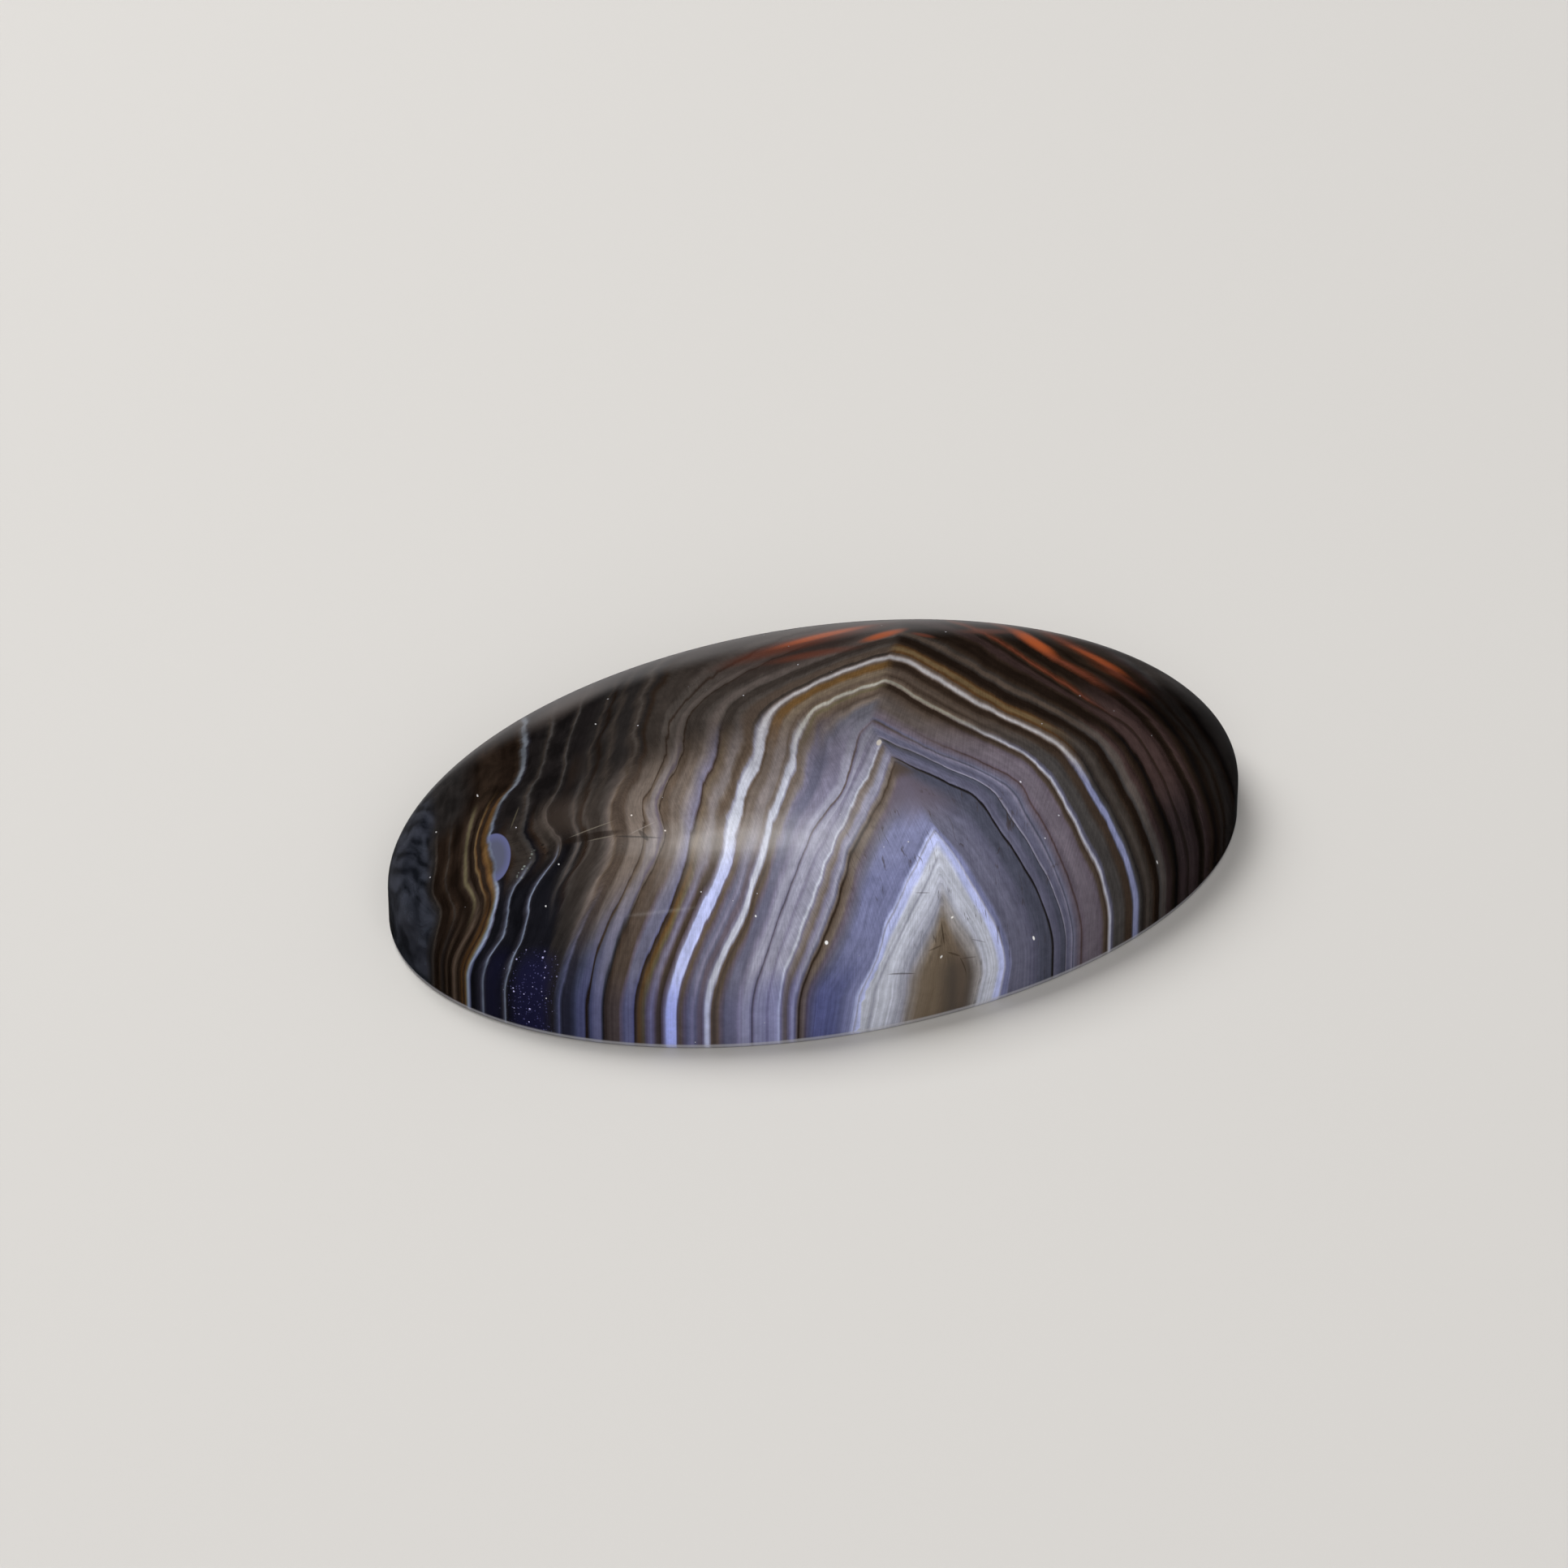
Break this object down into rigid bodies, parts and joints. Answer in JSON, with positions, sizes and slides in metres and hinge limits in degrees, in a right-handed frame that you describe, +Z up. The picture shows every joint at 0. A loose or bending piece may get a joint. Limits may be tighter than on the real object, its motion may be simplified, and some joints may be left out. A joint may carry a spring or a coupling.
{
  "type": "agate cabochon",
  "caption": "Oval domed gemstone of polished banded agate with a low upright wall and a flat back, resting on its back or ready to set in a bezel.",
  "frame": {"origin": "centre of the flat back", "axes": "+X along the long axis of the oval, +Y across it, +Z up from the flat back to the crown of the dome"},
  "size_m": [0.03, 0.02, 0.0058],
  "materials": {
    "polished_agate": "high polish, fortification banding in dark brown, taupe, blue-grey and white"
  },
  "bodies": {
    "root": {"cabochon": "polished_agate"}
  },
  "joints": []
}
